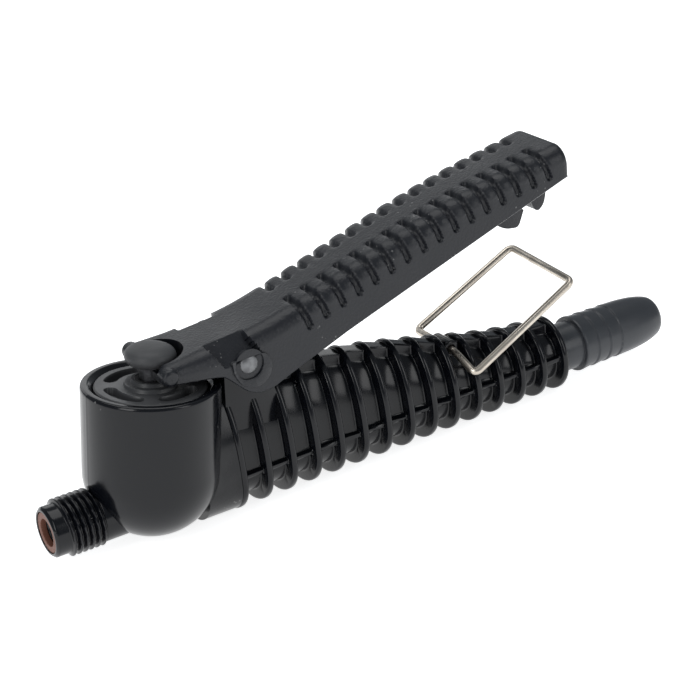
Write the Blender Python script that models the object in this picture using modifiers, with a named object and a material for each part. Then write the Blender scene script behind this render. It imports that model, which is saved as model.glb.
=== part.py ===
"""Trigger shut-off handle for a garden sprayer.

Threaded outlet at -X, hose tail at +X, valve chamber upright near the outlet.
Lengths are millimetres along the flow axis, counted from the outlet face, and
heights are counted from the flow axis. frame() turns them into world metres.
"""
import math

import bmesh
import bpy
from mathutils import Matrix, Vector

MM = 0.001

# Overall layout
LENGTH = 175.0            # outlet face to end of hose tail
CHAMBER_R = 16.0          # outside radius of the valve chamber
CHAMBER_X = 27.7          # centre of the round chamber bottom
CHAMBER_Z = 7.1
CHAMBER_LEAN = math.radians(7.5)
CHAMBER_RIM = 20.8        # rim height above the bottom's centre, along the leaning axis

# Outlet thread, M14 x 1.5
THREAD_R = 7.0
THREAD_PITCH = 1.5
THREAD_DEPTH = 0.92
THREAD_START = 2.2
THREAD_TURNS = 6.4
OUTLET_BORE_R = 3.0
GASKET_R = 4.9
GASKET_T = 1.5

# Grip
FIN_FIRST = 45.7
FIN_PITCH = 6.73
FIN_COUNT = 15
FIN_T = 1.7
FIN_BOTTOM = 9.35
FIN_TOP_FRONT = 23.0
FIN_TOP_REAR = 10.0
FIN_TOP_POWER = 1.35
FIN_HALF_FRONT = 11.0
FIN_HALF_REAR = 9.3
FIN_EDGE = 0.5
CORE_INSET = 3.0
BLOCK_INSET = 0.25
RIB_HALF = 2.2
RIB_DROP = 0.9
LEDGE_INSET = 1.4
LEDGE_LOW = 0.7
LEDGE_HIGH = 1.8

# Inlet side
STRAINER_BORE_R = 3.9
SOCKET_R = 4.45
SOCKET_START = 127.0
TAIL_BORE_R = 3.0
TAIL_NECK_R = 6.25

# Valve
BORE_R = 12.1
MOUTH_R = 13.0
FLOOR = -0.5
SEAT_BORE_R = 4.0
STEM_R = 2.5
LIFT_GAP = 0.25
CAP_TOP = 20.3
CAP_BOTTOM = 17.25
BUTTON_R = 6.0
BUTTON_BOTTOM = 25.3
BUTTON_H = 4.6

# Lever
PIVOT_X = 50.3
PIVOT_Z = 29.5
PIN_R = 1.95
LUG_HALF = 6.4
LUG_EYE_R = 2.9
LEVER_HALF = 10.6
LEVER_WALL = 1.8
LEVER_TOP_HALF = 6.2
LEVER_END = 142.0
LEVER_SLOPE = 0.27           # average rise of the finger grooves
LEVER_BACK = ((28.0, 34.2), (36.0, 34.7), (45.0, 35.4), (51.0, 35.9), (57.0, 36.9), (63.0, 38.4), (70.0, 40.5),
              (80.0, 43.6), (90.0, 46.6), (100.0, 49.5), (110.0, 52.1), (120.0, 54.3), (130.0, 56.2), (142.0, 58.2))
LEVER_EDGE = ((28.0, 31.8), (29.6, 31.4), (31.6, 30.2), (41.0, 28.8), (44.0, 28.2), (46.5, 25.6), (49.5, 22.6),
              (52.5, 21.4), (56.0, 21.6), (60.0, 23.2), (76.9, 29.3), (142.0, 50.1))
LEVER_START = 29.6
LEVER_SQUEEZE = math.radians(7.0)
GROOVE_COUNT = 16
GROOVE_FIRST = 65.5
GROOVE_PITCH = 4.62
GROOVE_R = 1.25

# Latch wire
LATCH_X = 109.4
LATCH_Z = 11.9
LATCH_REACH = 33.2
LATCH_HALF = 12.0
LATCH_REST = math.radians(22.6)
LATCH_HELD = math.radians(37.1)
WIRE_R = 0.95
FOOT_DROP = 3.8           # near foot of the wire, below the hinge line
FOOT_BACK = 0.8
WIRE_TWIST = 1.3          # the free end is twisted, near side down
BOSS_HALF = 3.4

# Clearances
FIT = 0.05
GAP = 0.3
ROUND = 40
SMALL_ROUND = 24
CUTTER_TURN = 0.031      # turns round cutters so their edges miss those they cut
RING_POINTS = 24

SIDE = Matrix.Rotation(math.radians(90), 4, "X")
ALONG = Matrix.Rotation(math.radians(90), 4, "Y")


def frame(x, y, z):
    """World position of a point given from the outlet face and the flow axis."""
    lift = max(FIN_BOTTOM, CHAMBER_R - CHAMBER_Z)
    return Vector(((x - LENGTH / 2) * MM, y * MM, (z + lift) * MM))


def chamber_point(height):
    """Point on the leaning chamber axis."""
    return (CHAMBER_X + height * math.sin(CHAMBER_LEAN), 0.0,
            CHAMBER_Z + height * math.cos(CHAMBER_LEAN))


def chamber_place(height=0.0):
    """Placement whose Z runs up the chamber axis."""
    return Matrix.Translation(frame(*chamber_point(height))) @ Matrix.Rotation(CHAMBER_LEAN, 4, "Y")


def axis_place(x, z=0.0):
    """Placement whose Z runs along +X from a point on the flow axis."""
    return Matrix.Translation(frame(x, 0, z)) @ ALONG


def clear_scene():
    for item in list(bpy.data.objects):
        bpy.data.objects.remove(item, do_unlink=True)
    for group in list(bpy.data.collections):
        bpy.data.collections.remove(group)


def new_collection(name):
    group = bpy.data.collections.new(name)
    bpy.context.scene.collection.children.link(group)
    return group


clear_scene()
PARTS = new_collection("trigger_handle")
CUTTERS = new_collection("cutters")


def add_object(name, verts, faces, place, group=None, edges=()):
    """Object from points in millimetres, placed by a matrix in metres."""
    mesh = bpy.data.meshes.new(name)
    mesh.from_pydata([(a * MM, b * MM, c * MM) for a, b, c in verts], edges, faces)
    mesh.update()
    item = bpy.data.objects.new(name, mesh)
    item.matrix_world = place
    (group or CUTTERS).objects.link(item)
    if item.name in CUTTERS.objects:
        item.hide_render = True
        item.display_type = "WIRE"
    return item


def outward(item):
    """Turn every face of a closed mesh outward."""
    shape = bmesh.new()
    shape.from_mesh(item.data)
    bmesh.ops.recalc_face_normals(shape, faces=shape.faces)
    shape.to_mesh(item.data)
    shape.free()
    return item


def smooth(item, degrees=35):
    for face in item.data.polygons:
        face.use_smooth = True
    item.data.set_sharp_from_angle(angle=math.radians(degrees))


def turned(name, profile, place, group=None, steps=ROUND, ring=False):
    """Solid of revolution: profile points are (radius, height), top to bottom outside."""
    verts = [(r, 0, h) for r, h in profile]
    edges = [(i, i + 1) for i in range(len(verts) - 1)]
    if ring:
        edges.append((len(verts) - 1, 0))
    item = add_object(name, verts, [], place, group, edges)
    screw = item.modifiers.new("turn", "SCREW")
    screw.axis = "Z"
    screw.steps = steps
    screw.render_steps = steps
    screw.use_merge_vertices = True
    screw.merge_threshold = 0.00001
    screw.use_smooth_shade = True
    return item


def rod(name, radius, low, high, place, group=None, steps=ROUND):
    profile = [(0, high), (radius, high), (radius, low), (0, low)]
    return turned(name, profile, place, group, steps)


def washer(name, inner, outer, low, high, place, group=None, edge=0.15):
    profile = [(inner, high), (outer - edge, high), (outer, high - edge),
               (outer, low + edge), (outer - edge, low), (inner, low)]
    return turned(name, profile, place, group, SMALL_ROUND, True)


def round_ring(name, middle, cord, place, group=None):
    """Rubber ring of round section."""
    sides = 8
    profile = []
    for i in range(sides):
        angle = math.pi / 2 - 2 * math.pi * i / sides
        profile.append((middle + cord * math.cos(angle), cord * math.sin(angle)))
    return turned(name, profile, place, group, SMALL_ROUND, True)


def loft(name, rings, place, group=None):
    """Closed skin through rings of matching points."""
    count = len(rings[0])
    verts = [p for ring in rings for p in ring]
    faces = []
    for r in range(len(rings) - 1):
        for i in range(count):
            j = (i + 1) % count
            a = r * count
            b = a + count
            faces.append((a + i, a + j, b + j, b + i))
    faces.append(tuple(range(count)))
    last = (len(rings) - 1) * count
    faces.append(tuple(last + i for i in range(count)))
    return outward(add_object(name, verts, faces, place, group))


def plate(name, outline, thickness, place, group=None):
    """Flat outline in local XY given thickness evenly about its plane."""
    curve = bpy.data.curves.new(name + "_line", "CURVE")
    curve.dimensions = "2D"
    curve.fill_mode = "BOTH"
    curve.extrude = thickness / 2 * MM
    line = curve.splines.new("POLY")
    line.points.add(len(outline) - 1)
    for point, (x, y) in zip(line.points, outline):
        point.co = (x * MM, y * MM, 0, 1)
    line.use_cyclic_u = True
    holder = bpy.data.objects.new(name + "_line", curve)
    CUTTERS.objects.link(holder)
    bpy.context.view_layer.update()
    mesh = bpy.data.meshes.new_from_object(holder.evaluated_get(bpy.context.evaluated_depsgraph_get()))
    bpy.data.objects.remove(holder, do_unlink=True)
    shape = bmesh.new()
    shape.from_mesh(mesh)
    bmesh.ops.remove_doubles(shape, verts=shape.verts, dist=0.000001)
    bmesh.ops.recalc_face_normals(shape, faces=shape.faces)
    shape.to_mesh(mesh)
    shape.free()
    mesh.name = name
    item = bpy.data.objects.new(name, mesh)
    item.matrix_world = place
    (group or CUTTERS).objects.link(item)
    if item.name in CUTTERS.objects:
        item.hide_render = True
        item.display_type = "WIRE"
    return item


def side_plate(name, outline, half, group=None, middle=0.0):
    """Plate drawn in length and height, thickened across the handle."""
    place = Matrix.Translation(frame(0, middle, 0)) @ SIDE
    return plate(name, outline, 2 * half, place, group)


def boolean(item, other, operation):
    step = item.modifiers.new(other.name, "BOOLEAN")
    step.operation = operation
    step.solver = "EXACT"
    step.object = other


def cut(item, *others):
    for other in others:
        if "turn" in other.modifiers:
            other.matrix_world = other.matrix_world @ Matrix.Rotation(CUTTER_TURN, 4, "Z")
        boolean(item, other, "DIFFERENCE")


def join(item, *others):
    for other in others:
        boolean(item, other, "UNION")


def bake(item):
    """Settle the modifiers into the mesh and shade it."""
    bpy.context.view_layer.update()
    graph = bpy.context.evaluated_depsgraph_get()
    mesh = bpy.data.meshes.new_from_object(item.evaluated_get(graph))
    item.modifiers.clear()
    item.data = mesh
    mesh.name = item.name
    smooth(item)


def arc(cx, cy, radius, start, stop, count):
    """Points round a centre, angles in degrees."""
    points = []
    for i in range(count + 1):
        angle = math.radians(start + (stop - start) * i / count)
        points.append((cx + radius * math.cos(angle), cy + radius * math.sin(angle)))
    return points


def swing(point, centre, angle):
    """Turn a point in length and height; a positive angle lowers the rear."""
    dx = point[0] - centre[0]
    dz = point[1] - centre[1]
    c = math.cos(angle)
    s = math.sin(angle)
    return (centre[0] + dx * c + dz * s, centre[1] + dz * c - dx * s)


# ---------------------------------------------------------------- valve body

def fin_top(x):
    """Height of the fins' tops: half a cosine wave from front to rear."""
    share = max(0.0, (x - FIN_FIRST) / (FIN_PITCH * (FIN_COUNT - 1)))
    wave = 0.5 + 0.5 * math.cos(math.pi * min(1.0, share) ** FIN_TOP_POWER)
    return FIN_TOP_REAR + (FIN_TOP_FRONT - FIN_TOP_REAR) * wave


def fin_half(x):
    share = max(0.0, (x - FIN_FIRST) / (FIN_PITCH * (FIN_COUNT - 1)))
    return FIN_HALF_FRONT + (FIN_HALF_REAR - FIN_HALF_FRONT) * share


def fin_ring(x, place, inset):
    """Egg-shaped fin section: round below, drawn up to a crest above."""
    top = fin_top(place) - inset
    low = FIN_BOTTOM - inset
    half = fin_half(place) - inset
    ring = []
    for i in range(RING_POINTS):
        angle = 2 * math.pi * i / RING_POINTS - math.pi / 2
        rise = math.sin(angle)
        height = top * rise if rise > 0 else low * rise
        ring.append((x, half * math.cos(angle), height))
    return ring


def core_ring(x, place):
    """Core section: egg shape with a ledge each side and a flat rib on top."""
    top = fin_top(place) - CORE_INSET
    low = FIN_BOTTOM - CORE_INSET
    half = fin_half(place) - CORE_INSET
    ledge = fin_half(place) - LEDGE_INSET
    crest = fin_top(place) - RIB_DROP
    side = []
    for degrees in (-90, -60, -30):
        angle = math.radians(degrees)
        side.append((half * math.cos(angle), low * math.sin(angle)))
    side += [(half, LEDGE_LOW), (ledge, LEDGE_LOW), (ledge, LEDGE_HIGH), (half, LEDGE_HIGH)]
    foot = math.acos(min(1.0, RIB_HALF / half))
    for k in range(1, 4):
        angle = math.radians(14) + (foot - math.radians(14)) * k / 4
        side.append((half * math.cos(angle), top * math.sin(angle)))
    side += [(RIB_HALF, top * math.sin(foot)), (RIB_HALF, crest), (0, crest)]
    other = [(-y, z) for y, z in side[1:-1]]
    return [(x, y, z) for y, z in side + other[::-1]]


def grip_rings():
    """Sections of the grip from the chamber to the tail socket."""
    start = FIN_FIRST - 8
    rings = [fin_ring(start, FIN_FIRST, BLOCK_INSET), fin_ring(FIN_FIRST - FIN_T / 2, FIN_FIRST, BLOCK_INSET)]
    for k in range(FIN_COUNT):
        x = FIN_FIRST + k * FIN_PITCH
        if k:
            rings.append(core_ring(x - FIN_T / 2, x))
        for share, inset in ((-0.5, FIN_EDGE), (-0.22, 0.0), (0.22, 0.0), (0.5, FIN_EDGE)):
            rings.append(fin_ring(x + share * FIN_T, x, inset))
        if k < FIN_COUNT - 1:
            rings.append(core_ring(x + FIN_T / 2, x))
    return rings


def make_thread():
    """Helical ridge that fades into the root at both ends."""
    per_turn = 20
    total = int(THREAD_TURNS * per_turn)
    rings = []
    for i in range(total + 1):
        angle = 2 * math.pi * i / per_turn
        x = THREAD_START + THREAD_PITCH * i / per_turn
        fade = min(1.0, i / (0.4 * per_turn), (total - i) / (0.4 * per_turn))
        root = THREAD_R - THREAD_DEPTH - 0.25
        crest = root + 0.1 + (THREAD_DEPTH + 0.15) * fade
        ring = []
        for dx, r in ((-0.66, root), (-0.12, crest), (0.12, crest), (0.66, root)):
            ring.append((x + dx, r * math.cos(angle), r * math.sin(angle)))
        rings.append(ring)
    return loft("thread", rings, Matrix.Translation(frame(0, 0, 0)))


def make_body():
    flow = Matrix.Translation(frame(0, 0, 0))
    stop = FIN_FIRST + FIN_PITCH * (FIN_COUNT - 1) + FIN_T / 2
    body = loft("valve_body", grip_rings(), flow, PARTS)

    root = THREAD_R - THREAD_DEPTH
    spigot_line = [(0, CHAMBER_X - 8), (6.5, CHAMBER_X - 8), (6.5, 12.6), (root, 12.2),
                   (root, 0.9), (root - 0.6, 0), (0, 0)]
    spigot = turned("spigot", spigot_line, axis_place(0))
    thread = make_thread()

    rim = CHAMBER_RIM
    shell_line = [(0, rim), (CHAMBER_R - 0.9, rim), (CHAMBER_R - 0.3, rim - 0.3), (CHAMBER_R, rim - 1.0)]
    shell_line += [(r, z) for r, z in arc(0, 0, CHAMBER_R, 0, -90, 9)]
    shell_line[-1] = (0, -CHAMBER_R)
    shell = turned("shell", shell_line, chamber_place())

    lug_line = [(44.5, 8), (45.6, PIVOT_Z - 4)]
    lug_line += arc(PIVOT_X, PIVOT_Z, 4.2, 180, 10, 9)
    lug_line += [(57.5, 22), (60, 14), (60, 8)]
    lug = side_plate("lug", lug_line, LUG_HALF)
    eye_half = LEVER_HALF - LEVER_WALL - 0.2
    eye = rod("lug_eye", LUG_EYE_R, -eye_half, eye_half,
              Matrix.Translation(frame(PIVOT_X, 0, PIVOT_Z)) @ SIDE, steps=28)
    boss = turned("latch_boss", [(0, BOSS_HALF), (1.7, BOSS_HALF), (2.2, BOSS_HALF - 0.5), (2.2, 0.5 - BOSS_HALF),
                                 (1.7, -BOSS_HALF), (0, -BOSS_HALF)],
                  Matrix.Translation(frame(LATCH_X, 0, LATCH_Z)) @ SIDE, steps=24)
    join(body, shell, lug, eye, boss, spigot, thread)

    # Chamber bore, seat pocket and mouth
    bore_line = [(0, rim + 2), (MOUTH_R + 1.1, rim + 2), (MOUTH_R + 1.1, rim), (MOUTH_R + 0.1, rim - 1.2),
                 (MOUTH_R, rim - 1.6), (MOUTH_R, CAP_BOTTOM - FIT), (BORE_R, CAP_BOTTOM - FIT),
                 (BORE_R, FLOOR), (SEAT_BORE_R + 3, FLOOR), (SEAT_BORE_R + 3, FLOOR - 1.6),
                 (SEAT_BORE_R, FLOOR - 1.6), (SEAT_BORE_R, -9.5), (0, -9.5)]
    bore = turned("chamber_bore", bore_line, chamber_place())
    outlet_line = [(0, CHAMBER_X - 1.5), (OUTLET_BORE_R, CHAMBER_X - 1.5), (OUTLET_BORE_R, GASKET_T + 0.2),
                   (GASKET_R, GASKET_T + 0.2), (GASKET_R, -1), (0, -1)]
    outlet = turned("outlet_bore", outlet_line, axis_place(0))
    inlet_line = [(0, stop + 2), (SOCKET_R, stop + 2), (SOCKET_R, SOCKET_START),
                  (STRAINER_BORE_R, SOCKET_START), (STRAINER_BORE_R, 54), (0, 50)]
    inlet = turned("inlet_bore", inlet_line, axis_place(0))
    tilt = math.atan2(11.5, 17.0)
    riser_place = Matrix.Translation(frame(53, 0, 0)) @ Matrix.Rotation(-math.pi / 2 + tilt, 4, "Y")
    riser = rod("riser_bore", 3.2, -1.5, 20.5, riser_place, steps=32)
    pin_hole = rod("pin_hole", PIN_R + FIT, -14, 14,
                   Matrix.Translation(frame(PIVOT_X, 0, PIVOT_Z)) @ SIDE, steps=32)
    wire_hole = rod("wire_hole", WIRE_R + FIT, -6, 6,
                    Matrix.Translation(frame(LATCH_X, 0, LATCH_Z)) @ SIDE, steps=24)
    cut(body, bore, outlet, inlet, riser, pin_hole, wire_hole)
    bake(body)


# ---------------------------------------------------------------- inlet pieces

def make_tail():
    insert = SOCKET_START + 3.0
    neck = FIN_FIRST + FIN_PITCH * (FIN_COUNT - 1) + FIN_T / 2 + 0.2
    line = [(TAIL_BORE_R, LENGTH), (3.5, LENGTH), (4.4, LENGTH - 0.3), (5.3, LENGTH - 1.2), (6.0, LENGTH - 2.9)]
    line += [(6.5, LENGTH - 5.6), (6.8, 166.5), (7.0, 161.5), (7.05, 159.9), (6.75, 159.6), (7.1, 156.2), (6.85, 155.7),
             (7.2, 152.4), (6.9, 151.9), (7.3, 148.5), (7.15, 148.1), (TAIL_NECK_R, 148.0),
             (TAIL_NECK_R, neck + 0.3), (TAIL_NECK_R - 0.3, neck), (SOCKET_R - FIT, neck),
             (SOCKET_R - FIT, insert), (TAIL_BORE_R, insert)]
    turned("hose_tail", line, axis_place(0), PARTS, steps=32, ring=True)
    washer("tail_seal", TAIL_BORE_R + 0.1, SOCKET_R - 0.1, insert - 1.6, insert - FIT, axis_place(0), PARTS)


def make_strainer():
    nose = 74.0
    flange = SOCKET_START + FIT
    tube = 3.1
    wall = 0.8
    line = [(tube - wall, flange + 1.2), (SOCKET_R - 0.1, flange + 1.2), (SOCKET_R - 0.1, flange),
            (3.7, flange), (3.7, flange - 3), (tube, flange - 3), (tube, nose + 3), (3.6, nose + 3),
            (3.6, nose + 0.6), (3.0, nose), (0, nose), (0, nose + 1.5), (tube - wall, nose + 1.5)]
    sleeve = turned("strainer_frame", line, axis_place(0), PARTS, steps=20, ring=True)
    first = nose + 6
    last = flange - 6
    rows = 5
    bay = (last - first) / rows
    for across in (0, 1):
        verts = []
        faces = []
        for row in range(rows):
            x0 = first + row * bay + 1.0
            x1 = first + (row + 1) * bay - 1.0
            wide, thin = (8.0, 1.3) if across else (1.3, 8.0)
            base = len(verts)
            for x in (x0, x1):
                for sy, sz in ((-1, -1), (1, -1), (1, 1), (-1, 1)):
                    verts.append((x, sy * wide / 2, sz * thin / 2))
            for quad in ((0, 1, 2, 3), (4, 5, 6, 7), (0, 1, 5, 4), (1, 2, 6, 5), (2, 3, 7, 6), (3, 0, 4, 7)):
                faces.append(tuple(base + q for q in quad))
        windows = outward(add_object("windows_%d" % across, verts, faces, Matrix.Translation(frame(0, 0, 0))))
        cut(sleeve, windows)
    bake(sleeve)
    turned("strainer_mesh", [(3.15, flange - 3.1), (3.4, flange - 3.1), (3.4, nose + 3.1), (3.15, nose + 3.1)],
           axis_place(0), PARTS, steps=20, ring=True)


# ---------------------------------------------------------------- valve pieces

SEAT_TOP = FLOOR + 1.2
DISC_TOP = SEAT_TOP + 1.6
FLANGE_TOP = DISC_TOP + 1.5
BUSH_BOTTOM = 12.4
BUSH_TOP = CAP_BOTTOM - 0.1
SPRING_TOP = 13.9


def make_seat():
    outer = SEAT_BORE_R + 3 - FIT
    low = FLOOR - 1.55
    line = [(SEAT_BORE_R, SEAT_TOP), (SEAT_BORE_R + 0.7, SEAT_TOP), (SEAT_BORE_R + 1.1, SEAT_TOP - 0.9),
            (outer, SEAT_TOP - 0.9), (outer, low), (SEAT_BORE_R, low)]
    turned("valve_seat", line, chamber_place(), PARTS, steps=SMALL_ROUND, ring=True)


def make_stem():
    top = BUTTON_BOTTOM + 3.0
    line = [(0, top), (1.4, top), (1.6, top - 0.2), (1.6, BUTTON_BOTTOM + 0.2), (STEM_R - 0.2, BUTTON_BOTTOM + 0.2),
            (STEM_R, BUTTON_BOTTOM), (STEM_R, FLANGE_TOP), (5.3, FLANGE_TOP), (5.5, FLANGE_TOP - 0.2),
            (5.5, DISC_TOP + FIT), (1.3, DISC_TOP + FIT), (1.3, DISC_TOP + 6), (0, DISC_TOP + 6)]
    turned("stem", line, chamber_place(), PARTS, steps=24)
    washer("seat_washer", 1.35, 5.5, SEAT_TOP + FIT, DISC_TOP, chamber_place(), PARTS)
    screw_line = [(0, DISC_TOP + 5.4), (1.0, DISC_TOP + 5.4), (1.25, DISC_TOP + 5.1), (1.25, SEAT_TOP),
                  (2.8, SEAT_TOP), (2.8, SEAT_TOP - 0.9), (2.2, SEAT_TOP - 1.3), (0, SEAT_TOP - 1.3)]
    head = turned("washer_screw", screw_line, chamber_place(), PARTS, steps=32)
    slot = plate("driver_slot", [(-4, -0.4), (4, -0.4), (4, 0.4), (-4, 0.4)], 1.2, chamber_place(SEAT_TOP - 1.3))
    cut(head, slot)
    bake(head)


def make_button():
    base = BUTTON_BOTTOM
    top = base + BUTTON_H
    half = BUTTON_H / 2
    line = [(0, top)]
    for i in range(1, 8):
        angle = math.radians(90 - 90 * i / 7)
        line.append((BUTTON_R - 2.6 + 2.6 * math.cos(angle), base + half + half * math.sin(angle)))
    line += [(BUTTON_R - 0.25, base + half * 0.45), (BUTTON_R - 1.3, base), (1.65 + 1.1, base),
             (1.65 + 1.1, base + 0.25), (1.65, base + 0.25), (1.65, base + 3.05), (0, base + 3.05)]
    turned("stem_button", line, chamber_place(), PARTS, steps=28)


def make_spring():
    """Round wire coil between the stem flange and the bush."""
    wire = 0.5
    low = FLANGE_TOP + wire + FIT
    high = SPRING_TOP - wire - FIT
    turns = 5.0
    per_turn = 16
    rings = []
    total = int(turns * per_turn)
    for i in range(total + 1):
        share = i / total
        angle = 2 * math.pi * turns * share
        height = low + (high - low) * share
        ring = []
        for k in range(6):
            a = 2 * math.pi * k / 6
            r = 4.4 + wire * math.cos(a)
            ring.append((r * math.cos(angle), r * math.sin(angle), height + wire * math.sin(a)))
        rings.append(ring)
    item = loft("spring", rings, chamber_place(), PARTS)
    smooth(item, 60)


def make_bush():
    outer = BORE_R - 0.1
    groove = outer - 1.75
    line = [(STEM_R + FIT, SPRING_TOP + 1.0), (4.6, SPRING_TOP + 1.0), (4.6, BUSH_TOP), (outer - 0.3, BUSH_TOP),
            (outer, BUSH_TOP - 0.3), (outer, 15.9), (groove, 15.9), (groove, 13.9), (outer, 13.9),
            (outer, BUSH_BOTTOM + 0.3), (outer - 0.3, BUSH_BOTTOM), (6.0, BUSH_BOTTOM), (6.0, SPRING_TOP),
            (STEM_R + FIT, SPRING_TOP)]
    turned("guide_bush", line, chamber_place(), PARTS, steps=SMALL_ROUND, ring=True)
    cord = 0.85
    round_ring("bush_ring", BORE_R - FIT - cord, cord, chamber_place(14.9), PARTS)
    round_ring("stem_ring_lower", STEM_R + FIT + 0.8, 0.8, chamber_place(SPRING_TOP + 1.9), PARTS)
    washer("packing_washer", STEM_R + 0.1, 4.5, SPRING_TOP + 2.8, BUSH_TOP, chamber_place(), PARTS, 0.05)
    round_ring("stem_ring_upper", STEM_R + FIT + 0.8, 0.8, chamber_place(CAP_BOTTOM + 0.9), PARTS)


def kidney(angle, inner, outer, spread):
    """Outline of one curved slot with rounded ends."""
    middle = (inner + outer) / 2
    end = (outer - inner) / 2
    points = arc(0, 0, outer, angle - spread, angle + spread, 5)
    tip = math.radians(angle + spread)
    cx, cy = middle * math.cos(tip), middle * math.sin(tip)
    points += arc(cx, cy, end, angle + spread, angle + spread + 180, 5)[1:-1]
    points += arc(0, 0, inner, angle + spread, angle - spread, 5)
    tip = math.radians(angle - spread)
    cx, cy = middle * math.cos(tip), middle * math.sin(tip)
    points += arc(cx, cy, end, angle - spread + 180, angle - spread + 360, 5)[1:-1]
    return points


def make_cap():
    outer = MOUTH_R - FIT
    line = [(STEM_R + FIT, CAP_BOTTOM + 1.8), (STEM_R + FIT, CAP_TOP + 0.4), (3.7, CAP_TOP + 0.4),
            (3.7, CAP_TOP + 1.6), (4.4, CAP_TOP + 1.6), (4.6, CAP_TOP + 1.4), (4.6, CAP_TOP + 0.8),
            (6.0, CAP_TOP + 0.8), (6.2, CAP_TOP + 0.6), (6.2, CAP_TOP), (outer - 0.5, CAP_TOP),
            (outer - 0.2, CAP_TOP - 0.3), (outer - 0.2, CAP_TOP - 0.8), (outer, CAP_TOP - 1.2),
            (outer, CAP_BOTTOM), (4.6, CAP_BOTTOM), (4.6, CAP_BOTTOM + 1.8)]
    cap = turned("valve_cap", line, chamber_place(), PARTS, steps=32, ring=True)
    for i, angle in enumerate((20, 110, 200, 290)):
        slot = plate("cap_slot_%d" % i, kidney(angle, 8.1, 10.9, 24), 4.0, chamber_place(CAP_TOP))
        cut(cap, slot)
    bake(cap)
    washer("stem_wiper", STEM_R + FIT, 3.65, CAP_TOP + 0.45, CAP_TOP + 1.5, chamber_place(), PARTS, 0.2)


def make_gasket():
    washer("outlet_gasket", OUTLET_BORE_R + 0.3, GASKET_R - FIT, 0.2, 0.2 + GASKET_T - FIT,
           axis_place(0), PARTS, 0.1)


# ---------------------------------------------------------------- lever

def along_line(line, x):
    """Height at x on a line of points."""
    for (x0, z0), (x1, z1) in zip(line, line[1:]):
        if x <= x1:
            return z0 + (z1 - z0) * (x - x0) / (x1 - x0)
    return line[-1][1]


def lever_top(x):
    """Height of the lever's back."""
    return along_line(LEVER_BACK, x)


def lever_low(x):
    """Lower edge of the side walls."""
    return along_line(LEVER_EDGE, x)


def lever_ring(x, top, low):
    """Channel outline across the lever."""
    half = LEVER_HALF
    flat = LEVER_TOP_HALF
    tall = min(1.0, 0.75 * (top - low) / 4.4)
    side = [(-half, low), (-half, top - 4.4 * tall), (-half + 0.5, top - 2.9 * tall),
            (-half + 1.6, top - 1.5 * tall), (-half + 3.0, top - 0.5 * tall), (-flat, top), (0, top)]
    other = [(-y, z) for y, z in side[:-1]]
    return [(x, y, z) for y, z in side + other[::-1]]


def catch_outline():
    """Web with the tooth and hook that hold the latch wire."""
    bar = (LATCH_X + LATCH_REACH * math.cos(LATCH_HELD), LATCH_Z + LATCH_REACH * math.sin(LATCH_HELD))
    bar = swing(bar, (PIVOT_X, PIVOT_Z), -LEVER_SQUEEZE)
    room = WIRE_R + 0.3
    pocket = arc(bar[0], bar[1], room, 250, 80, 8)
    points = [(116.0, 46.0), (121.5, 42.6), (127.8, 38.2), (129.4, 37.5), (132.2, 37.1), (133.0, 37.8)]
    points += pocket
    points += [(136.9, 43.2), (137.3, 41.6), (138.0, 40.1), (139.1, 39.8), (140.6, 41.0), (141.4, 43.6), (141.6, 56.4)]
    points += [(131.0, 55.4), (116.0, 52.3)]
    return points


def make_grooves():
    """Finger grooves: bars laid over each shoulder of the lever."""
    verts = []
    faces = []
    sides = 6
    slope = math.atan(LEVER_SLOPE)
    for row in range(GROOVE_COUNT):
        for sign in (-1, 1):
            x = GROOVE_FIRST + row * GROOVE_PITCH
            top = lever_top(x) + 0.25
            half = LEVER_HALF + 0.25
            path = [(3.2, top + 0.1), (6.3, top), (half - 2.9, top - 0.55), (half - 1.4, top - 1.7),
                    (half - 0.35, top - 3.2), (half, top - 4.8), (half, top - 7.6)]
            base = len(verts)
            for n, (y, z) in enumerate(path):
                before = path[max(0, n - 1)]
                after = path[min(len(path) - 1, n + 1)]
                dy, dz = after[0] - before[0], after[1] - before[1]
                size = math.hypot(dy, dz)
                ny, nz = -dz / size, dy / size
                for k in range(sides):
                    a = 2 * math.pi * k / sides
                    along = GROOVE_R * math.cos(a)
                    off = GROOVE_R * math.sin(a) * 0.85
                    px = x + along - (z - top) * math.tan(slope) * 0.9
                    verts.append((px, sign * (y + ny * off), z + nz * off + along * math.tan(slope)))
            for n in range(len(path) - 1):
                for k in range(sides):
                    m = (k + 1) % sides
                    a = base + n * sides
                    faces.append((a + k, a + m, a + sides + m, a + sides + k))
            faces.append(tuple(base + k for k in range(sides)))
            end = base + (len(path) - 1) * sides
            faces.append(tuple(end + k for k in range(sides)))
    return outward(add_object("grooves", verts, faces, Matrix.Translation(frame(0, 0, 0))))


def lever_place():
    return Matrix.Translation(frame(PIVOT_X, 0, PIVOT_Z))


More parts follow.
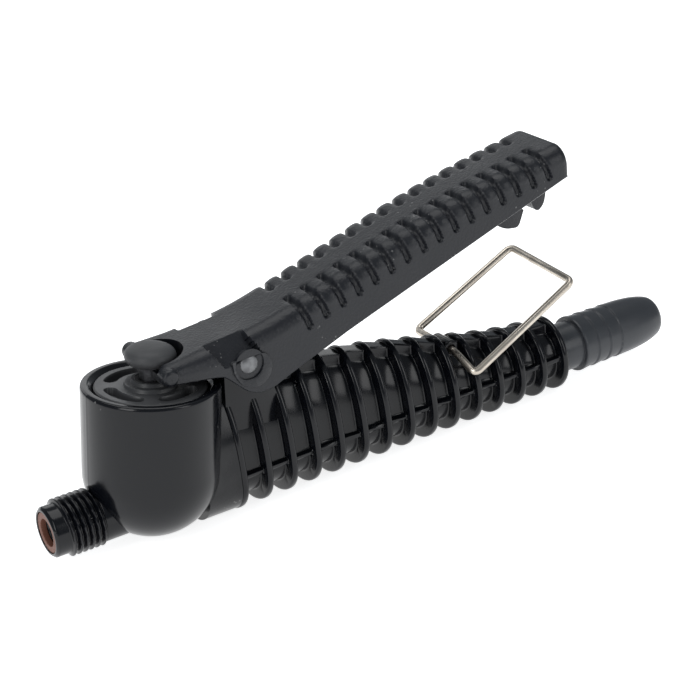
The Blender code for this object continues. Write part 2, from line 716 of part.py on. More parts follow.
def make_lever():
    stations = [LEVER_START, LEVER_START + 1.0, 31.6, 36.0, 41.0, 44.0, 46.5, 49.5, 52.5, 56.0, 60.0, 65.0, 76.9, 101.0,
                120.0, LEVER_END - 2.0, LEVER_END]
    rings = []
    for x in stations:
        drop = 0.0
        if x == stations[0]:
            drop = 1.2
        if x == stations[1]:
            drop = 0.4
        if x == LEVER_END:
            drop = 1.0
        rings.append([(px - PIVOT_X, y, z - PIVOT_Z) for px, y, z in lever_ring(x, lever_top(x) - drop, lever_low(x))])
    lever = loft("lever", rings, lever_place(), PARTS)

    pad_line = [(42.4, 33.6), (53.6, 35.8), (56.4, 31.6), (56.2, 27.2), (53.5, 23.8), (48.4, 24.0), (45.6, 28.4)]
    pad = side_plate("pads", pad_line, LEVER_HALF + 0.45)
    join(lever, pad)

    inner = LEVER_HALF - LEVER_WALL
    hollow = []
    for x in (43.0, 49.0, 57.0, 63.0, 76.0, 94.0, 109.5, 124.5, LEVER_END - 2.2):
        top = lever_top(x) - 2.2
        ring = [(-inner, 10), (-inner, top - 1.5), (-inner + 1.2, top - 0.4), (-inner + 2.6, top)]
        ring = ring + [(-y, z) for y, z in ring[::-1]]
        hollow.append([(x, y, z) for y, z in ring])
    cut(lever, loft("hollow", hollow, Matrix.Translation(frame(0, 0, 0))))
    catch = side_plate("catch_web", catch_outline(), 1.9)
    join(lever, catch)

    for side in (-1, 1):
        low, high = sorted((side * 6.4, side * (LEVER_HALF + 0.15)))
        join(lever, rod("fork_tip", 2.0, low, high, Matrix.Translation(frame(30.9, 0, 32.1)) @ SIDE, steps=20))

    # Fork: wide well for the button, narrow slot for the stem, open underneath
    well_line = arc(0.8, 0, BUTTON_R + 1.1, 90, -90, 14) + [(-16, -BUTTON_R - 1.1), (-16, BUTTON_R + 1.1)]
    fork_top = BUTTON_BOTTOM - LIFT_GAP
    well = plate("button_well", [(x, y) for x, y in well_line], 16, chamber_place(fork_top + 8))
    slot_line = arc(0, 0, STEM_R + 0.45, 90, -90, 10) + [(-17, -STEM_R - 0.45), (-17, STEM_R + 0.45)]
    slot = plate("stem_slot", slot_line, 9, chamber_place(fork_top - 1.7))
    under_line = [(-16, -inner), (13.0, -inner), (13.0, inner), (-16, inner)]
    under = plate("fork_under", under_line, 8, chamber_place(fork_top - 1.9 - 4))
    cut(lever, well, slot, under, make_grooves())

    across = Matrix.Translation(frame(PIVOT_X, 0, PIVOT_Z)) @ SIDE
    hole = rod("lever_hole", PIN_R + FIT, -14, 14, across, steps=32)
    near = rod("near_pocket", 3.3, LEVER_HALF - 0.45, 14, across, steps=32)
    far = rod("far_pocket", 3.3, -14, -LEVER_HALF + 0.45, across, steps=32)
    cut(lever, hole, near, far)
    bake(lever)


def make_pin():
    """Rivet with a domed head towards -Y and a push-on washer at the other end."""
    across = Matrix.Translation(frame(PIVOT_X, 0, PIVOT_Z)) @ SIDE
    face = LEVER_HALF - 0.45 + FIT
    line = [(0, face + 1.1), (1.4, face + 1.0), (2.2, face + 0.7), (2.5, face + 0.25), (2.5, face),
            (PIN_R, face), (PIN_R, -face - 1.5), (PIN_R - 0.4, -face - 1.9), (0, -face - 1.9)]
    turned("pivot_pin", line, across, PARTS, steps=32)
    washer("pin_washer", PIN_R + FIT, 3.1, -face - 0.9, -face, across, PARTS, 0.1)


# ---------------------------------------------------------------- latch wire

def wire_path():
    """Centre line of the wire: a rectangle whose near foot is bent below the hinge line."""
    bend = 1.9
    steps = 5
    corners = [(0, LATCH_HALF, 0), (0, -BOSS_HALF - 1.0, 0), (-FOOT_BACK, -LATCH_HALF, -FOOT_DROP),
               (LATCH_REACH, -LATCH_HALF, -WIRE_TWIST), (LATCH_REACH, LATCH_HALF, WIRE_TWIST)]
    corners = [Vector(corner) for corner in corners]
    path = []
    for i, corner in enumerate(corners):
        into = (corner - corners[i - 1]).normalized()
        out = (corners[(i + 1) % len(corners)] - corner).normalized()
        for k in range(steps + 1):
            t = k / steps
            path.append(corner - into * bend * (1 - t) ** 2 + out * bend * t ** 2)
    return path


def make_latch():
    """Closed wire loop turning in the boss between two fins."""
    path = wire_path()
    sides = 10
    verts = []
    count = len(path)
    for i, point in enumerate(path):
        along = (path[(i + 1) % count] - path[i - 1]).normalized()
        flat = along.cross(Vector((0, 0, 1))).normalized()
        rise = flat.cross(along)
        for k in range(sides):
            a = 2 * math.pi * k / sides
            verts.append(tuple(point + flat * WIRE_R * math.cos(a) + rise * WIRE_R * math.sin(a)))
    faces = []
    for i in range(count):
        a = i * sides
        b = ((i + 1) % count) * sides
        for k in range(sides):
            m = (k + 1) % sides
            faces.append((a + k, a + m, b + m, b + k))
    place = Matrix.Translation(frame(LATCH_X, 0, LATCH_Z)) @ Matrix.Rotation(-LATCH_REST, 4, "Y")
    item = outward(add_object("latch_wire", verts, faces, place, PARTS))
    smooth(item, 60)


# ---------------------------------------------------------------- materials

FINISHES = {
    "valve_body": ((0.012, 0.012, 0.013), 0.22, 0.0),
    "hose_tail": ((0.02, 0.02, 0.021), 0.4, 0.0),
    "lever": ((0.022, 0.022, 0.023), 0.48, 0.0),
    "stem_button": ((0.06, 0.06, 0.06), 0.55, 0.0),
    "valve_cap": ((0.018, 0.018, 0.019), 0.4, 0.0),
    "guide_bush": ((0.7, 0.7, 0.68), 0.45, 0.0),
    "strainer_frame": ((0.75, 0.75, 0.72), 0.45, 0.0),
    "strainer_mesh": ((0.6, 0.6, 0.58), 0.35, 1.0),
    "outlet_gasket": ((0.16, 0.07, 0.045), 0.6, 0.0),
    "stem": ((0.75, 0.56, 0.28), 0.3, 1.0),
    "valve_seat": ((0.75, 0.56, 0.28), 0.3, 1.0),
    "washer_screw": ((0.75, 0.56, 0.28), 0.35, 1.0),
    "packing_washer": ((0.85, 0.85, 0.83), 0.5, 0.0),
    "spring": ((0.6, 0.6, 0.6), 0.3, 1.0),
    "pivot_pin": ((0.32, 0.32, 0.33), 0.45, 1.0),
    "pin_washer": ((0.5, 0.5, 0.5), 0.35, 1.0),
    "latch_wire": ((0.72, 0.68, 0.62), 0.25, 1.0),
}
RUBBER = ((0.02, 0.02, 0.02), 0.7, 0.0)


def paint():
    for item in PARTS.objects:
        colour, rough, metal = FINISHES.get(item.name, RUBBER)
        material = bpy.data.materials.new(item.name)
        material.use_nodes = True
        shader = material.node_tree.nodes["Principled BSDF"]
        shader.inputs["Base Color"].default_value = (*colour, 1)
        shader.inputs["Roughness"].default_value = rough
        shader.inputs["Metallic"].default_value = metal
        item.data.materials.clear()
        item.data.materials.append(material)


make_body()
make_gasket()
make_tail()
make_strainer()
make_seat()
make_stem()
make_button()
make_spring()
make_bush()
make_cap()
make_lever()
make_pin()
make_latch()
paint()
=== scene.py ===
# %% [markdown]
# A sprayer trigger handle, dressed for a studio picture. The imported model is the
# frame: every body, joint and size comes from it. This lesson keeps the pieces
# whose shape is already right, works out smoother skins for the large mouldings,
# and gives each piece a finish made only of shader nodes.

# %% Load the frame
import math

import bmesh
import bpy
import numpy as np
from mathutils import Matrix, Vector


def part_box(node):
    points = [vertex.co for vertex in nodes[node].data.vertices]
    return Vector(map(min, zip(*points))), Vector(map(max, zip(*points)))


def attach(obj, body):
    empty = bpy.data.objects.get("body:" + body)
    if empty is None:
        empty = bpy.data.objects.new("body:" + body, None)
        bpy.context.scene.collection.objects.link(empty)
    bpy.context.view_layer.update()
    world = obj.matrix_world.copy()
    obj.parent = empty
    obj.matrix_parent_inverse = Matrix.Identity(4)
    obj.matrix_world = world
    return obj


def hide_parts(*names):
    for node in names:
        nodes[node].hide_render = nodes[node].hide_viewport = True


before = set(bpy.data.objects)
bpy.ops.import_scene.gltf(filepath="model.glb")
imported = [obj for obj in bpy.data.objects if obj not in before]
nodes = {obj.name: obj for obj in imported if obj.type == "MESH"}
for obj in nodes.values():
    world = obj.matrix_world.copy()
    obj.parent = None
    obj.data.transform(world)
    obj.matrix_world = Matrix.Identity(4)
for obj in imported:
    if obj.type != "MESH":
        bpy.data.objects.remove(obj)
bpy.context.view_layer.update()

# %% [markdown]
# Two points fix everything else: the middle of the outlet face, and the height of
# the flow axis above the surface the handle lies on. Lengths below are written in
# millimetres from that point, then turned into metres once.

# %% Where the outlet face and the flow axis are
tail_low, tail_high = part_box("hose_tail")
body_low, body_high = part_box("valve_body")
FLOW_Z = (tail_low[2] + tail_high[2]) / 2
FACE_X = body_low[0]
MM = 0.001
print("outlet face at x =", round(FACE_X, 4), " flow axis at z =", round(FLOW_Z, 4))


def place(points):
    """Millimetres from the outlet face to metres: x shifts by the face, z by the flow axis."""
    points = np.asarray(points, float) * MM
    return points + np.array([FACE_X, 0.0, FLOW_Z])


# %% [markdown]
# The camera stands in front, to the left and above, with a long lens, so the
# handle runs away to the right with little narrowing. It leans a few degrees.

# %% Camera
AZIMUTH, ELEVATION, ROLL = math.radians(-29.69), math.radians(24.5), math.radians(-5.55)
CAMERA_FROM_FACE = Vector((-0.13287, -0.37823, 0.21744))
back = Vector((math.sin(AZIMUTH) * math.cos(ELEVATION), -math.cos(AZIMUTH) * math.cos(ELEVATION),
               math.sin(ELEVATION)))
level = Vector((math.cos(AZIMUTH), math.sin(AZIMUTH), 0.0))
rise = back.cross(level)
right = level * math.cos(ROLL) + rise * math.sin(ROLL)
up = rise * math.cos(ROLL) - level * math.sin(ROLL)
camera_data = bpy.data.cameras.new("studio_camera")
camera = bpy.data.objects.new("studio_camera", camera_data)
bpy.context.scene.collection.objects.link(camera)
turn = Matrix((right, up, back)).transposed().to_4x4()
camera.matrix_world = Matrix.Translation(Vector((FACE_X, 0.0, FLOW_Z)) + CAMERA_FROM_FACE) @ turn
camera_data.sensor_width = 36.0
camera_data.lens = 102.86
camera_data.clip_start = 0.01
camera_data.clip_end = 20.0
bpy.context.scene.camera = camera
print("camera", [round(c, 3) for c in camera.location])

# %% [markdown]
# A black glossy moulding is drawn by what it reflects, so the lamps are the real
# brushes here: tall soft panels give the long streaks down the chamber, and the
# pale floor lights the undersides of the fins.

# %% Floor and lamps
scene = bpy.context.scene
scene.view_settings.view_transform = "Standard"
scene.view_settings.look = "None"


def new_material(name):
    """A material with an empty board but for its shader and output."""
    material = bpy.data.materials.new(name)
    material.use_nodes = True
    board = material.node_tree
    return material, board, board.nodes["Principled BSDF"]


floor_mesh = bpy.data.meshes.new("studio_floor")
floor_mesh.from_pydata([(-6, -6, 0), (6, -6, 0), (6, 6, 0), (-6, 6, 0)], [], [(0, 1, 2, 3)])
floor = bpy.data.objects.new("studio_floor", floor_mesh)
scene.collection.objects.link(floor)
floor_paint, board, shader = new_material("studio_white")
shader.inputs["Base Color"].default_value = (0.9, 0.9, 0.9, 1)
shader.inputs["Roughness"].default_value = 0.9
shader.inputs["Specular IOR Level"].default_value = 0.0
shader.inputs["Emission Color"].default_value = (1, 1, 1, 1)
shader.inputs["Emission Strength"].default_value = 0.80
floor_mesh.materials.append(floor_paint)

sky = bpy.data.worlds.new("studio_air")
scene.world = sky
sky.use_nodes = True
sky.node_tree.nodes["Background"].inputs["Color"].default_value = (0.86, 0.93, 1.0, 1)
sky.node_tree.nodes["Background"].inputs["Strength"].default_value = 0.30


def lamp(name, spot, aim, width, height, watts):
    """Soft panel of the given size, facing a point."""
    data = bpy.data.lights.new(name, "AREA")
    data.shape = "RECTANGLE"
    data.size = width
    data.size_y = height
    data.energy = watts
    item = bpy.data.objects.new(name, data)
    item.location = spot
    item.rotation_euler = (Vector(aim) - Vector(spot)).to_track_quat("-Z", "Y").to_euler()
    scene.collection.objects.link(item)
    return item


lamp("top_panel", (0.05, 0.15, 0.9), (0, 0, 0), 0.9, 0.7, 4.2)
lamp("left_panel", (-0.75, -0.35, 0.45), (-0.02, 0, 0.03), 0.35, 0.6, 2.6)
lamp("right_panel", (0.45, -0.8, 0.4), (0, 0, 0.03), 0.3, 0.6, 1.6)
lamp("rear_panel", (0.1, 0.8, 0.35), (0, 0, 0.03), 0.9, 0.35, 1.1)

# %% [markdown]
# Finishes. Several pieces share the same small effects, so each effect is one node
# group with named inputs: fine grain from the mould, dust specks, and rubbed edges.

# %% Shared effects


def group_board(name, ins, outs):
    """New shader group with float or colour sockets, its input and output nodes."""
    group = bpy.data.node_groups.new(name, "ShaderNodeTree")
    for label, kind, value in ins:
        socket = group.interface.new_socket(label, in_out="INPUT", socket_type=kind)
        socket.default_value = value
    for label, kind in outs:
        group.interface.new_socket(label, in_out="OUTPUT", socket_type=kind)
    start = group.nodes.new("NodeGroupInput")
    end = group.nodes.new("NodeGroupOutput")
    return group, start, end


def grain_group():
    """Mould grain: two noises added, one coarse and one fine, as a height and a roughness change."""
    group, start, end = group_board(
        "mould_grain",
        [("Size", "NodeSocketFloat", 900.0), ("Depth", "NodeSocketFloat", 1.0)],
        [("Height", "NodeSocketFloat"), ("Rough", "NodeSocketFloat")])
    where = group.nodes.new("ShaderNodeTexCoord")
    fine = group.nodes.new("ShaderNodeTexNoise")
    fine.inputs["Detail"].default_value = 6
    coarse = group.nodes.new("ShaderNodeTexNoise")
    coarse.inputs["Detail"].default_value = 3
    coarse.inputs["Scale"].default_value = 130
    mix = group.nodes.new("ShaderNodeMath")
    mix.operation = "MULTIPLY_ADD"
    mix.inputs[1].default_value = 0.5
    gain = group.nodes.new("ShaderNodeMath")
    gain.operation = "MULTIPLY"
    links = group.links
    links.new(where.outputs["Object"], fine.inputs["Vector"])
    links.new(where.outputs["Object"], coarse.inputs["Vector"])
    links.new(start.outputs["Size"], fine.inputs["Scale"])
    links.new(coarse.outputs["Fac"], mix.inputs[0])
    links.new(fine.outputs["Fac"], mix.inputs[2])
    links.new(mix.outputs[0], gain.inputs[0])
    links.new(start.outputs["Depth"], gain.inputs[1])
    links.new(gain.outputs[0], end.inputs["Height"])
    links.new(coarse.outputs["Fac"], end.inputs["Rough"])
    return group


def speck_group():
    """Dust specks: a cell pattern keeps only the middle of each cell, and a noise keeps few cells."""
    group, start, end = group_board(
        "dust_specks",
        [("Scale", "NodeSocketFloat", 700.0), ("Share", "NodeSocketFloat", 0.6)],
        [("Mask", "NodeSocketFloat")])
    where = group.nodes.new("ShaderNodeTexCoord")
    cells = group.nodes.new("ShaderNodeTexVoronoi")
    near = group.nodes.new("ShaderNodeMath")
    near.operation = "LESS_THAN"
    near.inputs[1].default_value = 0.16
    few = group.nodes.new("ShaderNodeTexNoise")
    few.inputs["Scale"].default_value = 95
    keep = group.nodes.new("ShaderNodeMath")
    keep.operation = "GREATER_THAN"
    both = group.nodes.new("ShaderNodeMath")
    both.operation = "MULTIPLY"
    links = group.links
    links.new(where.outputs["Object"], cells.inputs["Vector"])
    links.new(where.outputs["Object"], few.inputs["Vector"])
    links.new(start.outputs["Scale"], cells.inputs["Scale"])
    links.new(cells.outputs["Distance"], near.inputs[0])
    links.new(few.outputs["Fac"], keep.inputs[0])
    links.new(start.outputs["Share"], keep.inputs[1])
    links.new(near.outputs[0], both.inputs[0])
    links.new(keep.outputs[0], both.inputs[1])
    links.new(both.outputs[0], end.inputs["Mask"])
    return group


def edge_group():
    """Rubbed edges: the pointiness of the mesh, sharpened and broken up by a noise."""
    group, start, end = group_board(
        "rubbed_edges",
        [("Sharpness", "NodeSocketFloat", 18.0), ("Breakup", "NodeSocketFloat", 0.5)],
        [("Mask", "NodeSocketFloat")])
    shape = group.nodes.new("ShaderNodeNewGeometry")
    lift = group.nodes.new("ShaderNodeMath")
    lift.operation = "SUBTRACT"
    lift.inputs[1].default_value = 0.53
    gain = group.nodes.new("ShaderNodeMath")
    gain.operation = "MULTIPLY"
    gain.use_clamp = True
    where = group.nodes.new("ShaderNodeTexCoord")
    noise = group.nodes.new("ShaderNodeTexNoise")
    noise.inputs["Scale"].default_value = 260
    fade = group.nodes.new("ShaderNodeMath")
    fade.operation = "SUBTRACT"
    fade.use_clamp = True
    share = group.nodes.new("ShaderNodeMath")
    share.operation = "MULTIPLY"
    links = group.links
    links.new(shape.outputs["Pointiness"], lift.inputs[0])
    links.new(lift.outputs[0], gain.inputs[0])
    links.new(start.outputs["Sharpness"], gain.inputs[1])
    links.new(where.outputs["Object"], noise.inputs["Vector"])
    links.new(noise.outputs["Fac"], share.inputs[0])
    links.new(start.outputs["Breakup"], share.inputs[1])
    links.new(gain.outputs[0], fade.inputs[0])
    links.new(share.outputs[0], fade.inputs[1])
    links.new(fade.outputs[0], end.inputs["Mask"])
    return group


GRAIN = grain_group()
SPECKS = speck_group()
EDGES = edge_group()
print("effects:", [g.name for g in (GRAIN, SPECKS, EDGES)])

# %% Put an effect on a board


def use(board, group, **values):
    """Place a group on a material's board with its own values."""
    node = board.nodes.new("ShaderNodeGroup")
    node.node_tree = group
    for label, value in values.items():
        node.inputs[label].default_value = value
    return node


def blend_colour(board, mask, low, high):
    """Colour that goes from low to high with a mask."""
    mix = board.nodes.new("ShaderNodeMix")
    mix.data_type = "RGBA"
    mix.inputs["A"].default_value = (*low, 1)
    mix.inputs["B"].default_value = (*high, 1)
    board.links.new(mask, mix.inputs["Factor"])
    return mix.outputs["Result"]


def scale_value(board, source, low, high):
    """Value between low and high as the source goes from 0.3 to 0.7."""
    ramp = board.nodes.new("ShaderNodeMapRange")
    ramp.inputs["From Min"].default_value = 0.3
    ramp.inputs["From Max"].default_value = 0.7
    ramp.inputs["To Min"].default_value = low
    ramp.inputs["To Max"].default_value = high
    board.links.new(source, ramp.inputs["Value"])
    return ramp.outputs["Result"]


def bump(board, shader, height, distance, strength=1.0):
    node = board.nodes.new("ShaderNodeBump")
    node.inputs["Distance"].default_value = distance
    node.inputs["Strength"].default_value = strength
    board.links.new(height, node.inputs["Height"])
    board.links.new(node.outputs["Normal"], shader.inputs["Normal"])


# %% [markdown]
# Moulded plastic. The body is the glossy one, the lever has a fine matt grain, and
# the tail sits between them. One recipe makes all of them: a near-black colour,
# grain in the roughness and the height, a few dust specks and paler rubbed edges.

# %% Plastic recipe


def plastic(name, colour, rough, grain, size=1100.0, dust=0.64, wear=0.25, speck=(0.10, 0.10, 0.10),
            shine=0.34):
    """Black moulded plastic: roughness from rough to rough plus a tenth, grain depth in metres."""
    material, board, shader = new_material(name)
    skin = use(board, GRAIN, Size=size, Depth=1.0)
    dots = use(board, SPECKS, Share=dust)
    rubbed = use(board, EDGES, Breakup=0.6)
    worn = board.nodes.new("ShaderNodeMath")
    worn.operation = "MULTIPLY"
    worn.inputs[1].default_value = wear
    board.links.new(rubbed.outputs["Mask"], worn.inputs[0])
    most = board.nodes.new("ShaderNodeMath")
    most.operation = "MAXIMUM"
    board.links.new(worn.outputs[0], most.inputs[0])
    board.links.new(dots.outputs["Mask"], most.inputs[1])
    board.links.new(blend_colour(board, most.outputs[0], colour, speck), shader.inputs["Base Color"])
    board.links.new(scale_value(board, skin.outputs["Rough"], rough - 0.03, rough + 0.07),
                    shader.inputs["Roughness"])
    shader.inputs["Specular IOR Level"].default_value = shine
    bump(board, shader, skin.outputs["Height"], grain)
    return material


FINISH = {
    "valve_body": plastic("body_black", (0.0025, 0.003, 0.0045), 0.15, 0.000004, 500, 0.66, shine=0.29),
    "lever": plastic("lever_charcoal", (0.0085, 0.0095, 0.0125), 0.33, 0.00010, 1500, 0.60, 0.4,
                     shine=0.34),
    "stem_button": plastic("button_grey", (0.045, 0.046, 0.048), 0.5, 0.00006, 900, 0.60, 0.5),
    "valve_cap": plastic("cap_black", (0.045, 0.046, 0.048), 0.36, 0.00002, 900, 0.60, 0.4),
    "hose_tail": plastic("tail_satin", (0.030, 0.033, 0.038), 0.30, 0.00002, 900, 0.62, 0.4),
    "guide_bush": plastic("bush_white", (0.62, 0.62, 0.58), 0.4, 0.00001, 900, 0.7, 0.1, (0.5, 0.5, 0.48)),
    "strainer_frame": plastic("strainer_white", (0.66, 0.66, 0.62), 0.4, 0.00001, 900, 0.7, 0.1,
                              (0.5, 0.5, 0.48)),
    "packing_washer": plastic("packing_white", (0.75, 0.75, 0.72), 0.45, 0.00001, 900, 0.7, 0.1,
                              (0.6, 0.6, 0.58)),
    "outlet_gasket": plastic("gasket_brown", (0.14, 0.055, 0.035), 0.55, 0.00003, 1300, 0.6, 0.2,
                             (0.2, 0.12, 0.09)),
}
print("plastics:", len(FINISH))

# %% [markdown]
# Rubber rings and washers: dull, almost black, with a fine powdery bloom.

# %% Rubber
for ring in ("tail_seal", "seat_washer", "bush_ring", "stem_ring_lower", "stem_ring_upper", "stem_wiper"):
    FINISH[ring] = plastic(ring + "_rubber", (0.018, 0.018, 0.018), 0.62, 0.00003, 1800, 0.58, 0.2)
print("rubber pieces:", 6)

# %% [markdown]
# Metals. The wire and the coil were drawn through a die, so their brightness runs
# in long streaks; the brass was turned; the rivet is dull and dented.

# %% Metal recipe


def metal(name, colour, dark, rough, stretch=(1.0, 1.0, 1.0), depth=0.000006, scale=420.0):
    """Bare metal: a stretched noise varies the colour, roughness and height together."""
    material, board, shader = new_material(name)
    shader.inputs["Metallic"].default_value = 1.0
    where = board.nodes.new("ShaderNodeTexCoord")
    turn_to = board.nodes.new("ShaderNodeMapping")
    turn_to.inputs["Scale"].default_value = stretch
    noise = board.nodes.new("ShaderNodeTexNoise")
    noise.inputs["Scale"].default_value = scale
    noise.inputs["Detail"].default_value = 5
    board.links.new(where.outputs["Object"], turn_to.inputs["Vector"])
    board.links.new(turn_to.outputs["Vector"], noise.inputs["Vector"])
    mask = scale_value(board, noise.outputs["Fac"], 0.0, 1.0)
    board.links.new(blend_colour(board, mask, dark, colour), shader.inputs["Base Color"])
    board.links.new(scale_value(board, noise.outputs["Fac"], rough + 0.1, rough),
                    shader.inputs["Roughness"])
    bump(board, shader, noise.outputs["Fac"], depth)
    return material


FINISH["latch_wire"] = metal("wire_bright", (0.60, 0.55, 0.48), (0.42, 0.375, 0.32), 0.24, (0.25, 1, 0.25))
FINISH["pivot_pin"] = metal("rivet_dull", (0.20, 0.205, 0.21), (0.11, 0.11, 0.115), 0.42, depth=0.00003)
FINISH["pin_washer"] = metal("washer_steel", (0.5, 0.5, 0.5), (0.35, 0.35, 0.35), 0.3)
FINISH["spring"] = metal("spring_steel", (0.62, 0.62, 0.62), (0.45, 0.45, 0.45), 0.25, (1, 1, 0.2))
FINISH["strainer_mesh"] = metal("mesh_steel", (0.6, 0.6, 0.58), (0.4, 0.4, 0.38), 0.35, scale=1500)
FINISH["stem"] = metal("stem_dark", (0.16, 0.16, 0.17), (0.06, 0.06, 0.065), 0.35, (1, 1, 3))
for piece in ("valve_seat", "washer_screw"):
    FINISH[piece] = metal(piece + "_brass", (0.78, 0.58, 0.28), (0.6, 0.42, 0.18), 0.25, (1, 1, 3))
print("finishes:", len(FINISH))

# %% [markdown]
# Large mouldings get finer skins. Each one is a sheet of points worked out at once
# with numpy and joined into four-sided faces. The sheet closes on itself, like the
# skin of a ring, so that no edge is left open.

# %% From a sheet of points to a piece


def skin(name, sheet, body, finish, around=True, along=True, sharp=38, holds=()):
    """Piece from sheet[row, column, xyz] in millimetres. Rows and columns join their
    neighbours; around joins the last column to the first, along the last row to the first.
    An open end is closed by one flat face."""
    rows, columns = sheet.shape[:2]
    r = np.arange(rows if along else rows - 1)
    c = np.arange(columns if around else columns - 1)
    rr, cc = np.meshgrid(r, c, indexing="ij")
    nr, nc = (rr + 1) % rows, (cc + 1) % columns
    quads = np.stack([rr * columns + cc, rr * columns + nc, nr * columns + nc, nr * columns + cc], -1)
    faces = quads.reshape(-1, 4).tolist()
    if not along:
        faces.append(list(range(columns - 1, -1, -1)))
        faces.append(list(range((rows - 1) * columns, rows * columns)))
    mesh = bpy.data.meshes.new(name)
    mesh.from_pydata(place(sheet.reshape(-1, 3)).tolist(), [], faces)
    return finished(name, mesh, body, finish, sharp, holds)


def finished(name, mesh, body, finish, sharp, holds):
    """Turn faces outward, shade smooth but for sharp edges, paint, and ride on a body."""
    shape = bmesh.new()
    shape.from_mesh(mesh)
    bmesh.ops.remove_doubles(shape, verts=shape.verts, dist=1e-7)
    bmesh.ops.dissolve_degenerate(shape, edges=shape.edges, dist=1e-8)
    bmesh.ops.recalc_face_normals(shape, faces=shape.faces)
    shape.to_mesh(mesh)
    shape.free()
    mesh.shade_smooth()
    mesh.set_sharp_from_angle(angle=math.radians(sharp))
    mesh.materials.append(FINISH[finish])
    item = bpy.data.objects.new(name, mesh)
    scene.collection.objects.link(item)
    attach(item, body)
    if holds:
        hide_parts(*holds)
    print(name, len(mesh.polygons), "faces")
    return item


def rounded(points, radius, steps=4, closed=True):
    """Outline with each corner replaced by a curve that starts and ends radius from the corner:
    point = (1-t)^2 before + 2t(1-t) corner + t^2 after. A third value on a point sets its own radius."""
    out = []
    count = len(points)
    for i, corner in enumerate(points):
        here = np.array(corner[:2], float)
        size = corner[2] if len(corner) > 2 else radius
        if (not closed and i in (0, count - 1)) or size == 0:
            out.append(here[None])
            continue
        before = np.array(points[i - 1][:2], float) - here
        after = np.array(points[(i + 1) % count][:2], float) - here
        a = here + before * min(0.48, size / max(1e-9, np.hypot(*before)))
        b = here + after * min(0.48, size / max(1e-9, np.hypot(*after)))
        t = np.linspace(0, 1, steps + 1)[:, None]
        out.append((1 - t) ** 2 * a + 2 * t * (1 - t) * here + t ** 2 * b)
    return np.concatenate(out)


LEAN = math.radians(7.5)
CHAMBER = np.array([27.7, 0.0, 7.1])


def on_chamber(points):
    """From the chamber's own axis to handle millimetres: turned by the lean, then moved."""
    c, s_ = math.cos(LEAN), math.sin(LEAN)
    matrix = np.array([[c, 0, s_], [0, 1, 0], [-s_, 0, c]])
    return points @ matrix.T + CHAMBER


def lathe(outline, steps=160):
    """Sheet of a turned piece about Z: (r cos a, r sin a, h) for each outline point and angle a."""
    a = np.linspace(0, 2 * np.pi, steps, endpoint=False)
    r, h = outline[:, 0][:, None], outline[:, 1][:, None]
    return np.stack([r * np.cos(a), r * np.sin(a), h + 0 * a], -1)


def lathe_along(outline, steps=160):
    """Sheet of a piece turned about the flow axis: height becomes x."""
    sheet = lathe(outline, steps)
    return sheet[..., [2, 0, 1]]


# %% [markdown]
# The valve chamber is a cup with a round bottom, leaning back over the grip. It was
# turned in two mould halves, so a faint raised seam runs down its front.

# %% Valve chamber


def chamber_outline():
    """Outer skin from the bottom pole up to the rim, then down the bore to the seat pocket."""
    down = np.radians(np.linspace(-90, 0, 40))
    bowl = np.stack([16 * np.cos(down), 16 * np.sin(down)], 1)
    bowl[0, 0] = 0
    wall = [(16, 0.2, 0), (16, 20.8, 1.1), (14.25, 20.8, 0.35), (13.1, 19.6), (13.0, 17.2), (12.1, 17.2),
            (12.1, -0.5), (7.0, -0.5), (7.0, -2.1), (4.0, -2.1), (4.0, -9.5), (0, -9.5, 0)]
    return np.concatenate([bowl, rounded(wall, 0.2, 8, closed=False)])


sheet = lathe(chamber_outline(), 240)
radius = np.hypot(sheet[..., 0], sheet[..., 1])
angle = np.arctan2(sheet[..., 1], -sheet[..., 0])
seam = 0.06 * np.exp(-(angle * radius / 0.16) ** 2) * (radius > 13.5)
sheet[..., :2] *= (1 + seam / np.maximum(radius, 1))[..., None]
skin("chamber_cup", on_chamber(sheet), "handle", "valve_body", along=False, sharp=50, holds=("valve_body",))

# %% [markdown]
# The outlet carries a 14 mm thread with a 1.5 mm pitch. Instead of winding a wire
# round a rod, the radius itself rises and falls with the distance along the helix:
# one cylinder-like sheet holds root, flanks and crest, and fades in and out.

# %% Outlet with its thread
PITCH, ROOT, CREST = 1.5, 6.06, 7.0
theta = np.linspace(0, 2 * np.pi, 192, endpoint=False)
x_outer = np.concatenate([np.linspace(0.75, 2.2, 6), np.arange(2.3, 12.4, 0.09), np.linspace(12.5, 19, 6)])
turns = (x_outer[:, None] - 2.55) / PITCH - theta[None] / (2 * np.pi)
ridge = 1 - np.abs((turns % 1.0) - 0.5) * 2
ridge = np.clip((ridge - 0.14) / 0.62, 0, 1)
started = np.clip(turns * 2.2, 0, 1) * np.clip((6.15 - turns) * 1.6, 0, 1)
neck = np.clip((x_outer - 11.9) / 0.5, 0, 1)[:, None]
outer = ROOT + 0.42 * neck + (CREST - ROOT) * ridge * started * (1 - neck)
front = np.array([(4.95, 1.7), (4.95, 0.06), (5.0, 0.0), (5.4, 0.0), (5.5, 0.05), (5.95, 0.5),
                  (6.04, 0.62)])
rows = [np.stack([np.full_like(theta, x), r * np.cos(theta), r * np.sin(theta)], -1) for r, x in front]
rows += [np.stack([np.full_like(theta, x), r * np.cos(theta), r * np.sin(theta)], -1)
         for x, r in zip(x_outer, outer)]
for r, x in ((3.0, 19.0), (3.0, 1.75), (3.05, 1.7)):
    rows.append(np.stack([np.full_like(theta, x), r * np.cos(theta), r * np.sin(theta)], -1))
skin("outlet_thread", np.stack(rows), "handle", "valve_body", sharp=45, holds=("valve_body",))
gasket = rounded([(3.3, 0.2), (4.85, 0.2), (4.85, 1.65), (3.3, 1.65)], 0.22, 5)
skin("outlet_gasket_ring", lathe_along(gasket), "handle", "outlet_gasket", holds=("outlet_gasket",))

